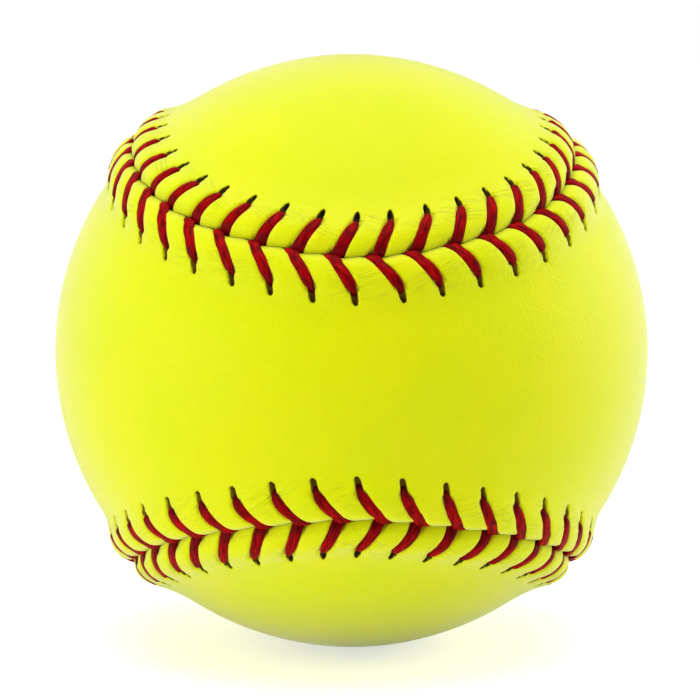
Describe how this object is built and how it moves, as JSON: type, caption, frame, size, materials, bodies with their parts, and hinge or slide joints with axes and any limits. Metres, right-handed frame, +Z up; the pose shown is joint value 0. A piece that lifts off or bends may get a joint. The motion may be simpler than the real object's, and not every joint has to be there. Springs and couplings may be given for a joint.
{
  "type": "softball",
  "caption": "Solid ball with a foam core under a two-panel figure-eight cover, joined by a raised seam laced with waxed thread.",
  "frame": {"origin": "middle of the ball, which is the middle of its box", "axes": "+Y runs from the middle of the front panel's neck to the middle of the back panel's neck, and the ball maps onto itself turned half a turn about it; +X and +Z point at one lobe of each panel; +Z up as pictured"},
  "size_m": [0.097, 0.097, 0.097],
  "materials": {
    "cover": "semi-gloss synthetic leather, optic yellow",
    "thread": "waxed red polyester lacing thread",
    "core_foam": "moulded closed-cell polyurethane foam"
  },
  "bodies": {
    "root": {"core": "core_foam", "cover_panel_front": "cover", "cover_panel_back": "cover", "thread_first_needle": "thread", "thread_second_needle": "thread"}
  },
  "joints": []
}
